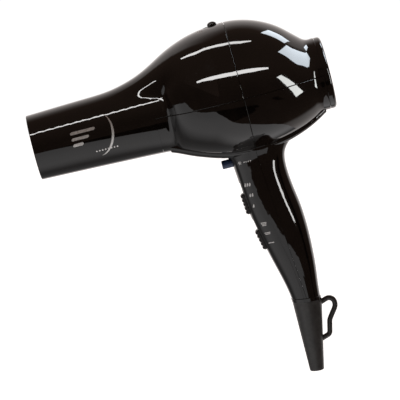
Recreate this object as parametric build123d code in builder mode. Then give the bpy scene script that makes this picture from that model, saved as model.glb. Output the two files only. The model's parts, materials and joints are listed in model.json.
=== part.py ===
from build123d import *
import math
import os

# ---------------------------------------------------------------------------
# Handheld hair dryer.
# Frame: +X along the barrel from the mouth to the rear, +Z up, handle down -Z,
# +Y to the far side.  Origin: centre of the mouth.  Millimetres.
# ---------------------------------------------------------------------------

os.makedirs("parts", exist_ok=True)

# --- driving dimensions ----------------------------------------------------
head_length = 236.7          # mouth to the filter cover's joint
cover_end = 242.2            # rearmost face of the filter cover
shell_wall = 2.3             # head shell wall
girth_x = 170.5              # plane where front and rear shells meet
root_x = 99.5                # front end of the lower shell, on the barrel
dome_mid = 168.0             # widest station of the dome
dome_reach = 64.0            # from there to the dome's own blunt front
dome_power = 2.4             # fullness of the dome's front
dome_blend = 3.0             # how softly dome and barrel run into each other
ridge_blend = 2.5            # and the ridge into the barrel
seam = 0.12                  # half of the visible joint line
root_gap = 0.03              # half of the hairline joint across the barrel
seam_round = 0.3             # rounded edges beside the joint lines
collar_r = 29.1              # rear collar radius
handle_wall = 2.5            # handle shell wall
end_plane_slope = -0.12      # slant of the handle's lower end, dz/dx
end_plane_z = -169.3         # its height at x = 169
end_ring_h = 3.0             # handle end collar height
button_r = 3.5               # cool shot button
button_z = -51.3
button_travel = 3.0
slider_w = 9.6               # thumb sliders
slider_len = 17.0
slider_travel = 9.0
slider_proud = 2.2
knob_r = 3.8                 # ionizer switch knob
knob_travel = 3.5
motor_r = 18.0
fan_duct_r = 30.5            # inner radius of the fan housing
impeller_r = 29.5
shaft_r = 1.6
cord_bore_r = 3.7
loop_r = 2.1                 # hang loop strand radius

# --- head stations: x, top, bottom, half width ------------------------------
head_stations = [
    (0.0, 26.1, 26.3, 26.2),
    (20.0, 26.9, 26.95, 26.9),
    (40.0, 27.6, 27.6, 27.6),
    (58.0, 28.15, 28.25, 28.2),
    (70.0, 29.2, 28.7, 29.0),
    (80.0, 31.2, 29.05, 30.3),
    (90.0, 34.1, 29.45, 32.2),
    (99.0, 37.8, 29.85, 34.6),
    (107.0, 41.9, 30.6, 37.4),
    (114.0, 45.8, 32.8, 40.5),
    (121.0, 49.3, 35.6, 43.6),
    (128.0, 52.2, 38.3, 46.4),
    (136.0, 54.9, 41.0, 49.0),
    (145.0, 57.05, 43.3, 51.0),
    (155.0, 58.5, 44.8, 52.2),
    (165.0, 59.3, 45.5, 52.7),
    (175.0, 59.3, 45.4, 52.6),
    (184.0, 57.95, 44.6, 51.6),
    (192.0, 55.75, 43.4, 49.9),
    (200.0, 52.5, 41.8, 47.3),
    (208.0, 48.1, 39.6, 43.8),
    (215.0, 42.9, 37.2, 39.9),
    (221.0, 37.4, 34.6, 35.8),
    (225.5, 33.2, 32.2, 32.6),
    (228.6, 30.55, 30.35, 30.4),
    (231.0, 29.45, 29.4, 29.4),
    (233.6, 29.12, 29.12, 29.12),
    (head_length, 29.1, 29.1, 29.1),
    (240.0, 29.1, 29.1, 29.1),
]


# the barrel alone: x, radius
barrel_stations = [
    (-4.0, 26.06),
    (0.0, 26.2),
    (20.0, 26.9),
    (40.0, 27.55),
    (58.0, 28.03),
    (76.0, 28.32),
    (94.0, 28.46),
    (112.0, 28.55),
    (130.0, 28.6),
    (244.0, 28.6),
]

# half angle of the ridge on top of the barrel: x, degrees
ridge_spread = [
    (-4.0, 34.0),
    (58.0, 34.0),
    (70.0, 36.5),
    (84.0, 42.5),
    (97.0, 48.5),
    (104.0, 51.8),
    (111.0, 56.5),
    (125.0, 76.0),
    (140.0, 90.0),
    (244.0, 90.0),
]


def smooth(table, x, column):
    """Value of a column of a station table at x: natural cubic spline through the stations."""
    xs = [row[0] for row in table]
    ys = [row[column] for row in table]
    n = len(xs)
    h = [xs[i + 1] - xs[i] for i in range(n - 1)]
    # second derivatives by the usual tridiagonal sweep, zero at both ends
    c, d = [0.0] * n, [0.0] * n
    for i in range(1, n - 1):
        rhs = 6 * ((ys[i + 1] - ys[i]) / h[i] - (ys[i] - ys[i - 1]) / h[i - 1])
        den = 2 * (h[i - 1] + h[i]) - h[i - 1] * c[i - 1]
        c[i] = h[i] / den
        d[i] = (rhs - h[i - 1] * d[i - 1]) / den
    m = [0.0] * n
    for i in range(n - 2, 0, -1):
        m[i] = d[i] - c[i] * m[i + 1]
    if x <= xs[0]:
        slope = (ys[1] - ys[0]) / h[0] - h[0] * (2 * m[0] + m[1]) / 6
        return ys[0] + slope * (x - xs[0])
    if x >= xs[-1]:
        slope = (ys[-1] - ys[-2]) / h[-1] + h[-1] * (2 * m[-1] + m[-2]) / 6
        return ys[-1] + slope * (x - xs[-1])
    i = max(k for k in range(n - 1) if xs[k] <= x)
    u, v = (xs[i + 1] - x) / h[i], (x - xs[i]) / h[i]
    return u * ys[i] + v * ys[i + 1] + ((u**3 - u) * m[i] + (v**3 - v) * m[i + 1]) * h[i] ** 2 / 6


def even_stations(table, first, last, count):
    """Evenly spaced rows (x, columns...) between first and last."""
    rows = []
    for i in range(count):
        x = first + (last - first) * i / (count - 1)
        rows.append((x,) + tuple(smooth(table, x, c) for c in range(1, len(table[0]))))
    return rows


def ramp(x, first, last):
    """0 before first, 1 after last, smooth between."""
    u = min(max((x - first) / (last - first), 0.0), 1.0)
    return u * u * (3 - 2 * u)


def egg(a, half_w, height):
    """Polar radius of an ellipse at angle a from the vertical."""
    return 1 / math.sqrt((math.sin(a) / half_w) ** 2 + (math.cos(a) / height) ** 2)


def head_radius(x, a):
    """Distance from the barrel's axis to the head's surface, at angle a from the top.

    A slim barrel carries a ridge that starts narrow on its top and widens as it
    climbs to the dome; an egg-shaped dome stands out bluntly from the barrel's sides.
    """
    top, bottom, half_w = (smooth(head_stations, x, c) for c in (1, 2, 3))
    u = min(max((dome_mid - x) / dome_reach, 0.0), 1.0)
    rise = (1 - u**dome_power) ** (1 / dome_power)
    own = ramp(x, 136.0, 156.0)
    dome_w = max((1 - own) * 52.75 * rise + own * half_w, 1.0)
    dome_top = max(top - max(top - 57.0 * rise, 0.0) * (1 - ramp(x, 118.0, 150.0)), 1.0)
    dome_low = max(bottom * min(1.6 * rise, 1.0), 1.0)
    dome = egg(a, dome_w, dome_top if math.cos(a) > 0 else dome_low)
    # the barrel sinks inside the dome towards the rear
    side = smooth(barrel_stations, x, 1)
    side = side + (12.0 - side) * ramp(x, 122.0, 175.0)
    low = min(bottom, side + 1.75) if x < 122 else side
    barrel = side if math.cos(a) > 0 else egg(a, side, low)
    # ridge: a parabola across, wider and wider until the dome takes over
    spread = math.radians(smooth(ridge_spread, x, 1))
    gap = max(top - dome_top, 0.0)
    crest = top if gap >= dome_blend else dome_top + 2 * math.sqrt(dome_blend * gap) - dome_blend
    lift = max(crest - barrel, 0.0)
    ridge = barrel + lift * (1 - min(a / spread, 1.6) ** 2.3)
    soft = max(min(ridge_blend, 0.45 * lift), 0.001)
    near = max(soft - abs(barrel - ridge), 0.0) / soft
    body = max(barrel, ridge) + near * near * soft / 4
    near = max(dome_blend - abs(body - dome), 0.0) / dome_blend
    return max(body, dome) + near * near * dome_blend / 4


def head_section(x, inset=0.0, count=72):
    """Closed section of the head in the YZ plane, starting at the top."""
    pts = []
    for i in range(count):
        a = 2 * math.pi * i / count
        r = head_radius(x, a if a <= math.pi else 2 * math.pi - a) - inset
        pts.append(Vector(r * math.sin(a), r * math.cos(a)))
    return Edge.make_spline(pts, periodic=True, parameters=[i / count for i in range(count + 1)])


def joint_edges(part, plane_x, plane_z):
    """Outer edges of a head shell that lie on its joint planes."""
    found = []
    for e in part.edges():
        box, mid = e.bounding_box(), e.position_at(0.5)
        on_x = abs(box.min.X - plane_x) < 0.01 and abs(box.max.X - plane_x) < 0.01
        on_z = abs(box.min.Z - plane_z) < 0.01 and abs(box.max.Z - plane_z) < 0.01
        angle = math.atan2(abs(mid.Y), mid.Z)
        outer = abs(math.hypot(mid.Y, mid.Z) - head_radius(mid.X, angle)) < 0.6
        if outer and e.length > 3.0 and (on_x or on_z):
            found.append(e)
    return found


def graded(first, last, count):
    """Stations from first to last, closer together where the dome leaves the barrel."""
    steps = 4000
    xs = [first + (last - first) * i / steps for i in range(steps + 1)]
    density = [1 / (2.3 + 2.6 * (1 - math.exp(-(((x - 113.0) / 20.0) ** 2)))) for x in xs]
    total = [0.0]
    for i in range(steps):
        total.append(total[-1] + (density[i] + density[i + 1]) / 2)
    rows, j = [], 0
    for k in range(count):
        goal = total[-1] * k / (count - 1)
        while j < steps - 1 and total[j + 1] < goal:
            j += 1
        rows.append(xs[j] + (goal - total[j]) / (total[j + 1] - total[j]) * (xs[j + 1] - xs[j]))
    rows[0], rows[-1] = first, last
    return rows


def finish(part_builder, name):
    part_builder.part.label = name
    export_step(part_builder.part, "parts/" + name + ".step")


# --- head: outer and inner bodies --------------------------------------------
with BuildPart() as head_outer:
    for x in graded(0.0, head_length, 72):
        with BuildSketch(Plane.YZ.offset(x)):
            with BuildLine():
                add(head_section(x))
            make_face()
    loft()

with BuildPart() as head_inner:
    for x in graded(-3.0, head_length + 3.0, 72):
        with BuildSketch(Plane.YZ.offset(x)):
            with BuildLine():
                add(head_section(x, inset=shell_wall))
            make_face()
    loft()

with BuildPart() as head_skin:
    add(head_outer.part)
    add(head_inner.part, mode=Mode.SUBTRACT)
    # true round seat for the filter cover's sleeve
    with BuildSketch(Plane.YZ.offset(229.2)):
        Circle(26.85)
    extrude(amount=12, mode=Mode.SUBTRACT)

# Ring webs inside the shells that carry the fan housing.
fan_housing_r = fan_duct_r + 1.8
with BuildPart() as web_front:
    with BuildSketch(Plane.YZ.offset(152.0)):
        Circle(75)
        Circle(fan_housing_r + 0.05, mode=Mode.SUBTRACT)
        with Locations((0, -38)):
            Rectangle(16, 24, mode=Mode.SUBTRACT)
    extrude(amount=1.8)
    add(head_inner.part, mode=Mode.INTERSECT)

with BuildPart() as web_rear:
    with BuildSketch(Plane.YZ.offset(196.0)):
        Circle(75)
        Circle(fan_housing_r + 0.05, mode=Mode.SUBTRACT)
    extrude(amount=1.8)
    add(head_inner.part, mode=Mode.INTERSECT)

# --- ionizer switch recess in the top of the dome ------------------------------
knob_x = 161.5
knob_floor_z = 58.0

with BuildPart() as front_upper_shell:
    add(head_skin.part)
    add(web_front.part)
    with BuildSketch(Plane.XZ):
        with BuildLine():
            Polyline(
                (-3, 75), (girth_x - seam, 75), (girth_x - seam, seam), (root_x - root_gap, seam),
                (root_x - root_gap, -60), (-3, -60), close=True,
            )
        make_face()
    extrude(amount=80, both=True, mode=Mode.INTERSECT)
    # stadium recess and slot for the sliding knob
    with BuildSketch(Plane.XY.offset(knob_floor_z)):
        with Locations((knob_x - knob_travel / 2, 0)):
            SlotOverall(2 * knob_r + knob_travel + 0.8, 2 * knob_r + 0.8)
    extrude(amount=6, mode=Mode.SUBTRACT)
    with BuildSketch(Plane.XY.offset(45)):
        with Locations((knob_x - knob_travel / 2, 0)):
            Rectangle(3.0 + knob_travel + 1.0, 3.6)
    extrude(amount=20, mode=Mode.SUBTRACT)

with BuildPart() as front_lower_shell:
    add(head_skin.part)
    add(web_front.part)
    with BuildSketch(Plane.XZ):
        with BuildLine():
            Polyline(
                (root_x + root_gap, -seam), (girth_x - seam, -seam), (girth_x - seam, -75),
                (root_x + root_gap, -75), close=True,
            )
        make_face()
    extrude(amount=80, both=True, mode=Mode.INTERSECT)
    # half of the wire passage down into the handle
    with BuildSketch(Plane.XY.offset(-60)):
        with Locations((165.0, 0)):
            Rectangle(14, 16)
    extrude(amount=25, mode=Mode.SUBTRACT)

with BuildPart() as rear_upper_shell:
    add(head_skin.part)
    add(web_rear.part)
    with BuildSketch(Plane.XZ):
        with BuildLine():
            Polyline(
                (girth_x + seam, seam), (head_length + 1, seam), (head_length + 1, 75),
                (girth_x + seam, 75), close=True,
            )
        make_face()
    extrude(amount=80, both=True, mode=Mode.INTERSECT)
    # notch for the filter cover's locating tab
    with BuildSketch(Plane.XZ.offset(20)):
        with Locations((235.5, 3.2)):
            Rectangle(4.6, 6.4)
    extrude(amount=15, mode=Mode.SUBTRACT)

with BuildPart() as rear_lower_shell:
    add(head_skin.part)
    add(web_rear.part)
    with BuildSketch(Plane.XZ):
        with BuildLine():
            Polyline(
                (girth_x + seam, -seam), (head_length + 1, -seam), (head_length + 1, -75),
                (girth_x + seam, -75), close=True,
            )
        make_face()
    extrude(amount=80, both=True, mode=Mode.INTERSECT)
    # other half of the wire passage
    with BuildSketch(Plane.XY.offset(-60)):
        with Locations((175.5, 0)):
            Rectangle(12, 16)
    extrude(amount=25, mode=Mode.SUBTRACT)

# rounded edges beside the joint lines and at the mouth
with front_upper_shell:
    fillet(joint_edges(front_upper_shell, girth_x - seam, seam), radius=seam_round)
    fillet(joint_edges(front_upper_shell, 0.0, -999), radius=0.6)
with front_lower_shell:
    fillet(joint_edges(front_lower_shell, girth_x - seam, -seam), radius=seam_round)
with rear_upper_shell:
    fillet(joint_edges(rear_upper_shell, girth_x + seam, seam), radius=seam_round)
with rear_lower_shell:
    fillet(joint_edges(rear_lower_shell, girth_x + seam, -seam), radius=seam_round)

finish(front_upper_shell, "front_upper_shell")
finish(front_lower_shell, "front_lower_shell")
finish(rear_upper_shell, "rear_upper_shell")
finish(rear_lower_shell, "rear_lower_shell")
print("head shells done")

# --- keel and handle -----------------------------------------------------------
# keel stations: x, bottom, half width, side depth above the bottom
keel_stations = [
    (105.2, 30.95, 14.6, 5.0),
    (112.0, 33.7, 15.4, 5.0),
    (120.0, 37.4, 16.0, 5.0),
    (130.0, 41.3, 16.3, 5.0),
    (142.0, 45.2, 16.4, 5.0),
    (155.0, 47.4, 16.4, 4.8),
    (170.5, 47.9, 16.2, 4.6),
    (185.0, 47.3, 15.6, 4.4),
    (196.0, 45.6, 14.6, 4.2),
    (205.0, 43.3, 13.4, 4.0),
    (213.0, 40.6, 12.1, 3.8),
    (221.0, 37.2, 10.8, 3.6),
    (228.0, 33.5, 9.6, 3.4),
    (232.8, 30.6, 8.8, 3.2),
]
with BuildPart() as keel_outer:
    for x, bottom, half_w, side in even_stations(keel_stations, 105.2, 232.8, 20):
        with BuildSketch(Plane.YZ.offset(x)):
            with BuildLine():
                Line((-half_w, -12.0), (-half_w, -(bottom - side)))
                n = 9
                arc_pts = []
                for i in range(n):
                    a = math.pi + math.pi * i / (n - 1)
                    c, s = math.cos(a), math.sin(a)
                    arc_pts.append((
                        half_w * math.copysign(abs(c) ** 0.62, c) if abs(c) > 1e-9 else 0.0,
                        -(bottom - side) + side * math.copysign(abs(s) ** 0.9, s) if abs(s) > 1e-9 else -(bottom - side),
                    ))
                add(Edge.make_spline(
                    [Vector(*p) for p in arc_pts],
                    tangents=[Vector(0, -1), Vector(0, 1)],
                    parameters=[i / (n - 1) for i in range(n)],
                ))
                Line((half_w, -(bottom - side)), (half_w, -12.0))
                Line((half_w, -12.0), (-half_w, -12.0))
            make_face()
    loft()

# handle stations: z, front x, back x, half width
handle_stations = [
    (-38.0, 141.0, 207.0, 16.6),
    (-42.0, 143.2, 203.2, 16.4),
    (-45.0, 145.6, 199.7, 16.2),
    (-48.0, 148.3, 196.2, 15.9),
    (-51.0, 149.7, 194.1, 15.6),
    (-55.0, 150.2, 192.5, 15.4),
    (-60.0, 150.6, 191.7, 15.2),
    (-68.0, 151.2, 191.6, 15.1),
    (-77.0, 151.8, 192.3, 15.1),
    (-86.0, 152.5, 193.5, 15.2),
    (-96.0, 153.6, 194.9, 15.3),
    (-106.0, 155.3, 195.7, 15.3),
    (-116.0, 157.4, 196.05, 15.2),
    (-127.0, 159.8, 195.95, 14.9),
    (-137.0, 162.2, 195.5, 14.4),
    (-147.0, 164.7, 194.8, 13.7),
    (-156.0, 166.8, 193.8, 13.0),
    (-164.0, 168.3, 192.85, 12.3),
    (-170.0, 169.1, 192.3, 11.9),
    (-178.0, 169.6, 191.9, 11.5),
]

handle_depths = [(-z, front, back, half_w) for z, front, back, half_w in handle_stations]


def handle_at(z):
    """Front x, back x and half width of the handle at height z."""
    return tuple(smooth(handle_depths, -z, c) for c in (1, 2, 3))


def handle_oval(front, back, half_w, inset=0.0, count=20, power=2.35):
    """Oval handle section in the XY plane; the spline starts on the far side."""
    cx, half_d = (front + back) / 2, (back - front) / 2 - inset
    half_w = half_w - inset
    pts = []
    for i in range(count):
        a = math.pi / 2 + 2 * math.pi * i / count
        c, s = math.cos(a), math.sin(a)
        pts.append(Vector(
            cx + half_d * math.copysign(abs(c) ** (2 / power), c) if abs(c) > 1e-9 else cx,
            half_w * math.copysign(abs(s) ** (2 / power), s) if abs(s) > 1e-9 else 0.0,
        ))
    return Edge.make_spline(pts, periodic=True, parameters=[i / count for i in range(count + 1)])


with BuildPart() as handle_outer:
    for d, front, back, half_w in even_stations(handle_depths, 39.0, 178.0, 34):
        with BuildSketch(Plane.XY.offset(-d)):
            with BuildLine():
                add(handle_oval(front, back, half_w))
            make_face()
    loft()

with BuildPart() as handle_inner:
    inner_depths = [(20.0, 150.4, 192.6, 15.4), (40.0, 150.3, 192.6, 15.4)] + handle_depths[5:]
    for d, front, back, half_w in even_stations(inner_depths, 20.0, 181.0, 30):
        with BuildSketch(Plane.XY.offset(-d)):
            with BuildLine():
                add(handle_oval(front, back, half_w, inset=handle_wall))
            make_face()
    loft()

# The slanted plane that ends the handle, as a cutting block below it.
end_angle = math.degrees(math.atan(end_plane_slope))


def slanted(drop):
    """Plane along the handle's slanted end, lowered by drop, normal up."""
    return Plane(
        origin=(169.0, 0, end_plane_z - drop),
        x_dir=(math.cos(math.radians(end_angle)), 0, math.sin(math.radians(end_angle))),
        z_dir=(-math.sin(math.radians(end_angle)), 0, math.cos(math.radians(end_angle))),
    )


with BuildPart() as grip_body:
    add(handle_outer.part)
    add(keel_outer.part)
    add(head_outer.part, mode=Mode.SUBTRACT)
    add(handle_inner.part, mode=Mode.SUBTRACT)
    with BuildSketch(slanted(0.0)):
        with Locations((10, 0)):
            Rectangle(80, 60)
    extrude(amount=-30, mode=Mode.SUBTRACT)
print("grip body", grip_body.part.volume, len(grip_body.part.solids()))


# --- thumb slider geometry: points and planes on the handle's front -------------
def front_plane(z_mid):
    """Plane on the handle's front line at z_mid: local x = +Y, local y = up the handle, normal out."""
    up, down = handle_at(z_mid + 12), handle_at(z_mid - 12)
    dx, dz = up[0] - down[0], 24.0
    length = math.hypot(dx, dz)
    y_dir = (dx / length, 0, dz / length)
    normal = (-y_dir[2], 0, y_dir[0])
    mid = handle_at(z_mid)
    return Plane(origin=(mid[0], 0, z_mid), x_dir=(0, -1, 0), z_dir=normal)


heat_plane = front_plane(-81.5)
speed_plane = front_plane(-112.5)
recess_depth = 1.3
slider_rest_shift = -slider_travel / 2      # resting at the lower end of its track

with BuildPart() as handle_front_shell:
    add(grip_body.part)
    with BuildSketch(Plane.XZ):
        with BuildLine():
            Polyline(
                (100, -10), (girth_x - seam, -10), (girth_x - seam, -53), (180.6 - seam, -172.0),
                (181.3 - seam, -180), (100, -180), close=True,
            )
        make_face()
    extrude(amount=40, both=True, mode=Mode.INTERSECT)
    # hole for the cool shot button
    with BuildSketch(Plane.YZ.offset(135)):
        with Locations((0, button_z)):
            Circle(button_r + 0.3)
    extrude(amount=24, mode=Mode.SUBTRACT)
    # recess and slot of each slider
    for p in (heat_plane, speed_plane):
        with BuildSketch(p.offset(-recess_depth)):
            RectangleRounded(slider_w + 0.8, slider_len + slider_travel + 0.8, 1.6)
        extrude(amount=8, mode=Mode.SUBTRACT)
        with BuildSketch(p.offset(-8)):
            Rectangle(4.6, 7.0 + slider_travel + 0.8)
        extrude(amount=12, mode=Mode.SUBTRACT)
    # bosses for the two screws that hold the halves together
    for z in (-63.5, -151.5):
        with BuildSketch(Plane.YZ.offset(handle_at(z)[0] + 1.5)):
            with Locations((0, z)):
                Circle(3.2)
        seam_x = girth_x + (180.6 - girth_x) * (-53 - z) / (172.0 - 53) - seam
        extrude(amount=seam_x - handle_at(z)[0] - 1.5 - 0.6)
        with BuildSketch(Plane.YZ.offset(seam_x - 10)):
            with Locations((0, z)):
                Circle(1.25)
        extrude(amount=20, mode=Mode.SUBTRACT)

with BuildPart() as handle_rear_shell:
    add(grip_body.part)
    with BuildSketch(Plane.XZ):
        with BuildLine():
            Polyline(
                (240, -10), (girth_x + seam, -10), (girth_x + seam, -53), (180.6 + seam, -172.0),
                (181.3 + seam, -180), (240, -180), close=True,
            )
        make_face()
    extrude(amount=40, both=True, mode=Mode.INTERSECT)
    for z in (-63.5, -151.5):
        back = handle_at(z)[1]
        seam_x = girth_x + (180.6 - girth_x) * (-53 - z) / (172.0 - 53) + seam
        with BuildSketch(Plane.YZ.offset(seam_x + 0.6)):
            with Locations((0, z)):
                Circle(4.3)
        extrude(amount=back - seam_x - 2.0)
        # clearance hole and deep head recess, open to the back
        with BuildSketch(Plane.YZ.offset(seam_x - 1)):
            with Locations((0, z)):
                Circle(1.7)
        extrude(amount=30, mode=Mode.SUBTRACT)
        with BuildSketch(Plane.YZ.offset(back - 9)):
            with Locations((0, z)):
                Circle(3.1)
        extrude(amount=14, mode=Mode.SUBTRACT)
finish(handle_front_shell, "handle_front_shell")
finish(handle_rear_shell, "handle_rear_shell")
print("handle shells done")

# --- handle screws ---------------------------------------------------------------
with BuildPart() as handle_screws:
    for z in (-63.5, -151.5):
        back = handle_at(z)[1]
        seam_x = girth_x + (180.6 - girth_x) * (-53 - z) / (172.0 - 53)
        with BuildSketch(Plane.YZ.offset(back - 9)):
            with Locations((0, z)):
                Circle(2.75)
        extrude(amount=2.2)
        with BuildSketch(Plane.YZ.offset(seam_x - 9.5)):
            with Locations((0, z)):
                Circle(1.2)
        extrude(amount=back - 9 - seam_x + 9.5 + 0.1)
        # cross recess in the head
        with BuildSketch(Plane.YZ.offset(back - 9 + 1.1)):
            with Locations((0, z)):
                Rectangle(3.0, 0.8)
                Rectangle(0.8, 3.0)
        extrude(amount=2, mode=Mode.SUBTRACT)
finish(handle_screws, "handle_screws")

# --- handle end collar --------------------------------------------------------------
with BuildPart() as end_collar:
    for d, front, back, half_w in even_stations(handle_depths, 160.0, 178.0, 5):
        with BuildSketch(Plane.XY.offset(-d)):
            with BuildLine():
                add(handle_oval(front, back, half_w, inset=-0.45))
            make_face()
    loft()
    with BuildSketch(slanted(end_ring_h)):
        with Locations((11, 0)):
            Rectangle(80, 60)
    extrude(amount=end_ring_h - 0.15, mode=Mode.INTERSECT)
    with BuildSketch(Plane.XY.offset(-182)):
        with Locations((180.9, 0)):
            Circle(9.2)
    extrude(amount=20, mode=Mode.SUBTRACT)
    chamfer(end_collar.faces().sort_by(Axis.Z)[-1].outer_wire().edges(), 0.3)
finish(end_collar, "end_collar")

# --- strain relief with its hang loop -------------------------------------------------
relief_top, relief_low = (-168.0, 181.75, 12.6), (-236.0, 174.45, 5.15)   # z, centre x, radius
relief_axis = Vector(relief_low[1] - relief_top[1], 0, relief_low[0] - relief_top[0]).normalized()
relief_end = Vector(175.0, 0, -231.3)
with BuildPart() as strain_relief:
    for z, cx, r in (relief_top, relief_low):
        with BuildSketch(Plane.XY.offset(z)):
            with Locations((cx, 0)):
                Circle(r)
    loft()
    # upper face follows the slanted collar
    with BuildSketch(slanted(end_ring_h + 0.15)):
        with Locations((11, 0)):
            Rectangle(80, 60)
    extrude(amount=30, mode=Mode.SUBTRACT)
    # lower face square to the cord
    with BuildSketch(Plane(origin=relief_end, x_dir=(0, 1, 0), z_dir=relief_axis)):
        Rectangle(60, 60)
    extrude(amount=30, mode=Mode.SUBTRACT)
    fillet(strain_relief.faces().sort_by(Axis.Z)[0].edges(), 1.3)
    # spigot that the handle halves close on
    with BuildSketch(Plane.XY.offset(-176)):
        with Locations((180.9, 0)):
            Circle(8.8)
    extrude(amount=11)
    # hang loop
    with BuildLine(Plane.XZ) as loop_path:
        FilletPolyline(
            (184.0, -180.6), (202.0, -174.6), (202.0, -183.9), (194.7, -193.7), (192.1, -205.0), (182.0, -208.0),
            radius=[4.7, 7.0, 9.0, 3.6],
        )
    with BuildSketch(Plane(origin=loop_path.line @ 0, z_dir=loop_path.line % 0)):
        Circle(loop_r)
    sweep(path=loop_path.line)
    # cord bore, in line with the tapered body
    with BuildSketch(Plane(origin=relief_end, x_dir=(0, 1, 0), z_dir=relief_axis)):
        Circle(cord_bore_r)
    extrude(amount=-70, mode=Mode.SUBTRACT)
finish(strain_relief, "strain_relief")
print("relief", strain_relief.part.volume, len(strain_relief.part.solids()))

# --- cool shot button, spring and switch -----------------------------------------------
button_flange_x = handle_at(button_z)[0] + handle_wall + 2.1
with BuildPart() as cool_shot_button:
    with BuildSketch(Plane.YZ.offset(141.6)):
        with Locations((0, button_z)):
            Circle(button_r)
    extrude(amount=button_flange_x - 141.6)
    fillet(cool_shot_button.faces().sort_by(Axis.X)[0].edges(), 0.9)
    with BuildSketch(Plane.YZ.offset(button_flange_x)):
        with Locations((0, button_z)):
            Circle(4.6)
    extrude(amount=1.4)
    with BuildSketch(Plane.YZ.offset(button_flange_x + 1.4)):
        with Locations((0, button_z)):
            Circle(1.2)
    extrude(amount=3.0)
finish(cool_shot_button, "cool_shot_button")

spring_x0 = button_flange_x + 1.5
spring_x1 = spring_x0 + 6.6
with BuildPart() as cool_shot_spring:
    for i in range(5):
        with BuildSketch(Plane.XZ):
            with Locations((spring_x0 + 0.35 + i * 1.475, button_z + 2.3)):
                Circle(0.3)
        revolve(axis=Axis((0, 0, button_z), (1, 0, 0)))
finish(cool_shot_spring, "cool_shot_spring")

with BuildPart() as cool_shot_switch:
    with BuildSketch(Plane.YZ.offset(spring_x1)):
        with Locations((0, button_z)):
            Rectangle(14, 8)
    extrude(amount=9)
    with BuildSketch(Plane.YZ.offset(spring_x1 - 1)):
        with Locations((0, button_z)):
            Circle(1.6)
    extrude(amount=6, mode=Mode.SUBTRACT)
    chamfer(cool_shot_switch.edges().filter_by(Axis.X), 0.5)
finish(cool_shot_switch, "cool_shot_switch")

# --- sliders ------------------------------------------------------------------------------
def build_slider(name, p):
    """Ribbed thumb piece whose stem passes through the handle into its switch."""
    with BuildPart() as slider:
        with BuildSketch(p.offset(-recess_depth + 0.3)):
            with Locations((0, slider_rest_shift)):
                RectangleRounded(slider_w, slider_len, 1.4)
        extrude(amount=recess_depth - 0.3 + 1.1)
        # five rounded ribs across the thumb face
        for i in range(5):
            y0 = slider_rest_shift + (i - 2) * 3.3
            rib_plane = Plane(
                origin=p.from_local_coords(Vector(-slider_w / 2 + 0.5, y0, 0.9)),
                x_dir=p.y_dir, z_dir=p.x_dir,
            )
            with BuildSketch(rib_plane):
                Circle(1.35)
            extrude(amount=slider_w - 1.0)
        # stem
        with BuildSketch(p.offset(-8.0)):
            with Locations((0, slider_rest_shift)):
                Rectangle(3.8, 6.4)
        extrude(amount=8.0)
    finish(slider, name)
    return slider


heat_slider = build_slider("heat_slider", heat_plane)
speed_slider = build_slider("speed_slider", speed_plane)


def build_switch(name, p):
    """Switch body behind the handle's front wall, open towards the slider's stem."""
    with BuildPart() as body:
        with BuildSketch(p.offset(-14.0)):
            Rectangle(13.0, slider_travel + 14.0)
        extrude(amount=9.6)
        with BuildSketch(p.offset(-8.4)):
            Rectangle(4.6, 7.0 + slider_travel + 0.8)
        extrude(amount=6, mode=Mode.SUBTRACT)
        # contact legs towards the board
        with BuildSketch(p.offset(-15.6)):
            with GridLocations(7.0, 5.0, 2, 4):
                Rectangle(0.8, 0.8)
        extrude(amount=2.0)
    finish(body, name)
    return body


heat_switch = build_switch("heat_switch_body", heat_plane)
speed_switch = build_switch("speed_switch_body", speed_plane)
print("sliders done")

# --- switch board --------------------------------------------------------------------------
with BuildPart() as switch_board:
    with BuildSketch(Plane.XZ):
        with BuildLine():
            a0 = heat_plane.from_local_coords(Vector(0, 12.5, -15.9))
            b1 = speed_plane.from_local_coords(Vector(0, -19, -15.9))
            # the board bends where the two switches' back planes cross
            hy, sy = heat_plane.y_dir, speed_plane.y_dir
            gap_x, gap_z = a0.X - b1.X, a0.Z - b1.Z
            reach = (gap_z * sy.X - gap_x * sy.Z) / (hy.Z * sy.X - hy.X * sy.Z)
            a1 = a0 - hy * reach
            nx, nz = heat_plane.z_dir.X, heat_plane.z_dir.Z
            mx, mz = speed_plane.z_dir.X, speed_plane.z_dir.Z
            Polyline(
                (a0.X, a0.Z), (a1.X, a1.Z), (b1.X, b1.Z),
                (b1.X - mx * 1.6, b1.Z - mz * 1.6), (a1.X - nx * 1.6, a1.Z - nz * 1.6 + 0.1),
                (a0.X - nx * 1.6, a0.Z - nz * 1.6), close=True,
            )
        make_face()
    extrude(amount=9.5, both=True)
finish(switch_board, "switch_board")

# --- ionizer switch -----------------------------------------------------------------------------
with BuildPart() as ionizer_knob:
    with BuildSketch(Plane.XY.offset(knob_floor_z + 0.3)):
        with Locations((knob_x, 0)):
            Circle(knob_r)
    extrude(amount=1.2)
    # low domed top
    dome_h = 62.1 - (knob_floor_z + 1.5)
    with BuildSketch(Plane.XZ):
        with BuildLine():
            z0 = knob_floor_z + 1.5
            Line((knob_x, z0 - 0.4), (knob_x + knob_r, z0 - 0.4))
            Line((knob_x + knob_r, z0 - 0.4), (knob_x + knob_r, z0))
            Spline(
                (knob_x + knob_r, z0), (knob_x + knob_r * 0.71, z0 + dome_h * 0.71), (knob_x, z0 + dome_h),
                tangents=[(0, 1), (-1, 0)],
            )
            Line((knob_x, z0 + dome_h), (knob_x, z0 - 0.4))
        make_face()
    revolve(axis=Axis((knob_x, 0, 0), (0, 0, 1)))
    with BuildSketch(Plane.XY.offset(50.5)):
        with Locations((knob_x, 0)):
            Rectangle(3.0, 2.8)
    extrude(amount=knob_floor_z + 0.6 - 50.5)
finish(ionizer_knob, "ionizer_knob")

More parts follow.
